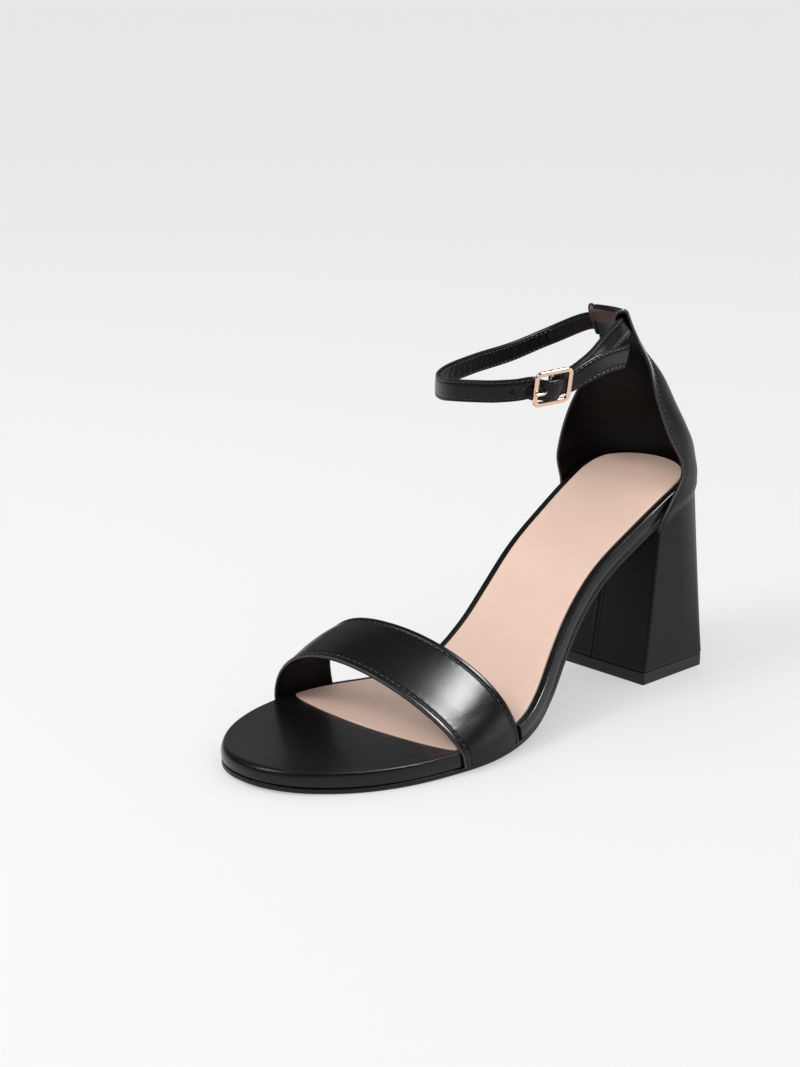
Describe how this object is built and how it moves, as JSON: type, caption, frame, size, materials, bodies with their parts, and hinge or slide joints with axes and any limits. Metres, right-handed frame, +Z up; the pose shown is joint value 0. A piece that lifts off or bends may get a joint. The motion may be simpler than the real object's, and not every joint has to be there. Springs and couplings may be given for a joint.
{
  "type": "block-heel sandal",
  "caption": "Left open-toe sandal with a wide toe strap, a closed heel counter, a buckled ankle strap and a flared block heel.",
  "frame": {"origin": "bottom centre of the shoe's bounding box, on the floor", "axes": "+Z up, +Y towards the heel, +X to the outer side of the left foot"},
  "size_m": [0.0888, 0.2148, 0.1443],
  "materials": {
    "black_leather": "smooth satin black leather with a very fine grain",
    "outsole_rubber": "smooth black sole sheet with a soft sheen at its edge",
    "top_piece_rubber": "matte black rubber",
    "nude_sock": "matte nude lining leather",
    "rose_gold": "polished rose-gold plated metal"
  },
  "bodies": {
    "root": {"outsole": "outsole_rubber", "footbed": "black_leather", "insole_sock": "nude_sock", "heel_block": "black_leather", "top_piece": "top_piece_rubber", "toe_strap": "black_leather", "heel_counter": "black_leather", "ankle_strap": "black_leather", "buckle_frame": "rose_gold", "buckle_prong": "rose_gold"}
  },
  "joints": []
}
